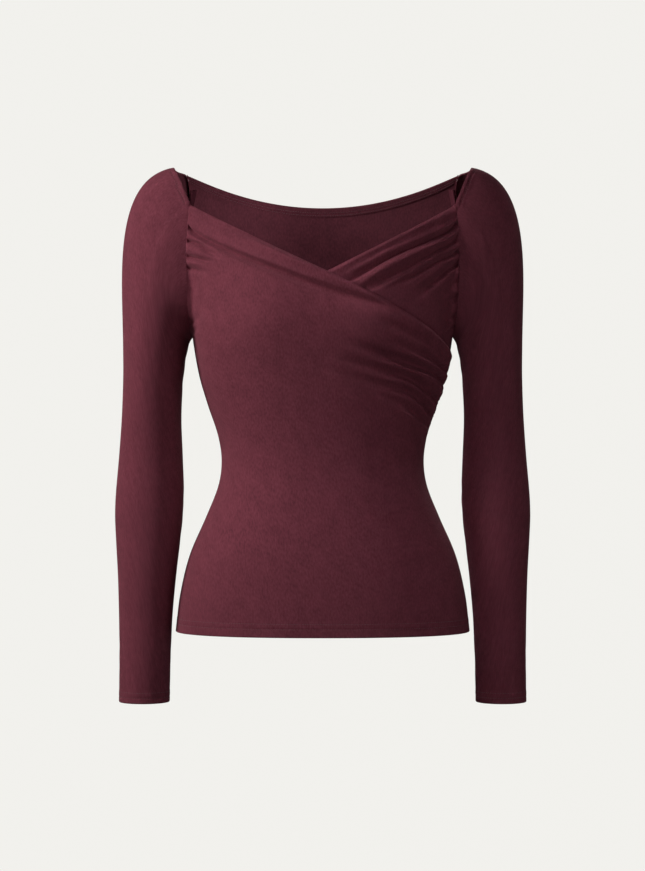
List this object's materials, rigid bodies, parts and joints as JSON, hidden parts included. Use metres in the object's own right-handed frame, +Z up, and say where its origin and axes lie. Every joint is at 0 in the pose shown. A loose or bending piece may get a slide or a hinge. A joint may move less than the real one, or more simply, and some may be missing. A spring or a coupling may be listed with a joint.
{
  "type": "long-sleeved wrap top",
  "caption": "Fitted long-sleeved jersey top with a wide off-shoulder neck and a gathered cross-over front, filled out as worn.",
  "frame": {"origin": "halfway between the two shoulder peaks, where the wearer's shoulders hold the top up", "axes": "+Z up, front faces -Y, wearer's left is +X"},
  "size_m": [0.4648, 0.2277, 0.595],
  "materials": {
    "jersey": "matte brushed jersey",
    "jersey_inside": "matte jersey, wrong side",
    "ribbon": "matte ribbon"
  },
  "bodies": {
    "root": {"front_over_wrap": "jersey", "front_under_wrap": "jersey", "back_panel": "jersey", "back_neck_band": "jersey_inside", "sleeve_left": "jersey", "sleeve_right": "jersey", "neck_band_left": "jersey_inside", "neck_band_right": "jersey_inside", "hanger_loop_left": "ribbon", "hanger_loop_right": "ribbon"}
  },
  "joints": []
}
